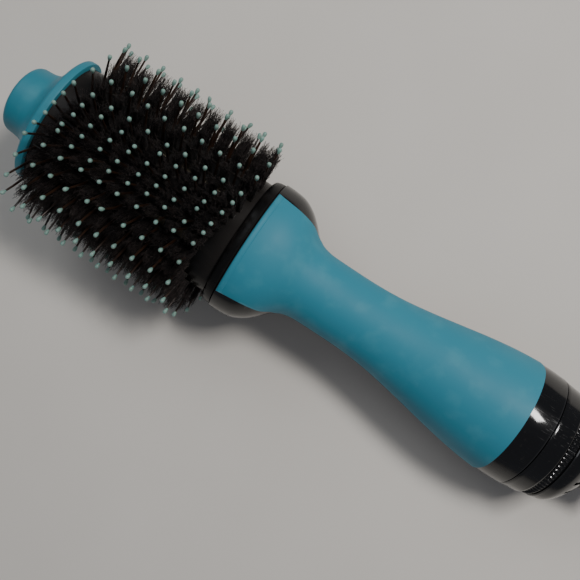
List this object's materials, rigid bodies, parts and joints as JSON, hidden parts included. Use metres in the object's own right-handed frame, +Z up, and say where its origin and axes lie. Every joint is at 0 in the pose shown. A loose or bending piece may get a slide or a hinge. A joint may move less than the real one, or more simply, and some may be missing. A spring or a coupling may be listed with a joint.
{
  "type": "hot air brush",
  "caption": "Oval hot air styling brush with vented pin and bristle barrel, cool tip, two-colour handle, rotary speed dial and cord swivel.",
  "frame": {"origin": "centre of the footprint, on the surface the brush lies on", "axes": "+X from the cord end to the cool tip, level with the surface; +Y across the wide side of the oval; +Z up, out of the mint front face"},
  "size_m": [0.3626, 0.1036, 0.0927],
  "materials": {
    "mint_tip": "satin moulded mint plastic",
    "mint_shell": "soft matte mint plastic",
    "barrel_black": "satin black heat-proof plastic",
    "gloss_black": "glossy black plastic",
    "gland_black": "satin black",
    "bristle": "dark brown-black nylon and bristle",
    "inner_plastic": "moulded grey plastic",
    "steel": "zinc plated",
    "heater_wire": "oxidised resistance wire",
    "mica": "pressed mica sheet",
    "circuit_board": "green laminate",
    "lead_insulation": "silicone insulation"
  },
  "bodies": {
    "brush": {"cool_tip": "mint_tip", "barrel_upper": "barrel_black", "barrel_lower": "barrel_black", "bristle_row_01": "bristle", "bristle_row_02": "bristle", "bristle_row_03": "bristle", "bristle_row_04": "bristle", "bristle_row_05": "bristle", "bristle_row_06": "bristle", "bristle_row_07": "bristle", "bristle_row_08": "bristle", "bristle_row_09": "bristle", "bristle_row_10": "bristle", "bristle_row_11": "bristle", "bristle_row_12": "bristle", "bristle_row_13": "bristle", "bristle_row_14": "bristle", "bristle_row_15": "bristle", "bristle_row_16": "bristle", "bristle_row_17": "bristle", "bristle_row_18": "bristle", "bristle_row_19": "bristle", "bristle_row_20": "bristle", "bristle_row_21": "bristle", "bristle_row_22": "bristle", "bristle_row_23": "bristle", "bristle_row_24": "bristle", "bristle_row_25": "bristle", "bristle_row_26": "bristle", "bristle_row_27": "bristle", "bristle_row_28": "bristle", "neck_collar": "barrel_black", "front_shell": "mint_shell", "rear_shell": "gloss_black", "shell_screw_1": "steel", "shell_screw_2": "steel", "intake_cover": "gloss_black", "intake_filter": "steel", "tail_hub": "inner_plastic", "switch_body": "inner_plastic", "fan_shroud": "inner_plastic", "motor_can": "steel", "motor_holder": "inner_plastic", "rectifier_board": "circuit_board", "filter_capacitor": "steel", "mica_board": "mica", "mica_fin_upper": "mica", "mica_fin_lower": "mica", "heating_coil": "heater_wire", "mica_sleeve": "mica", "thermostat": "steel", "thermal_fuse": "steel", "inner_lead_left": "lead_insulation", "inner_lead_right": "lead_insulation"},
    "dial": {"speed_dial": "gloss_black", "switch_finger": "inner_plastic"},
    "gland": {"swivel_gland": "gland_black", "gland_clip": "steel"},
    "rotor": {"impeller": "inner_plastic", "motor_shaft": "steel"}
  },
  "joints": [
    {"name": "speed_dial_turn", "type": "hinge", "parent": "brush", "child": "dial", "pos_m": [-0.13289, 0, 0.02998], "axis": [0.9976, 0, 0.0696], "range_deg": [-40, 60]},
    {"name": "cord_swivel", "type": "hinge", "parent": "brush", "child": "gland", "pos_m": [-0.15683, 0, 0.02831], "axis": [0.9976, 0, 0.0696], "continuous": true},
    {"name": "fan_spin", "type": "hinge", "parent": "brush", "child": "rotor", "pos_m": [-0.10845, 0, 0.03168], "axis": [0.9976, 0, 0.0696], "continuous": true}
  ]
}
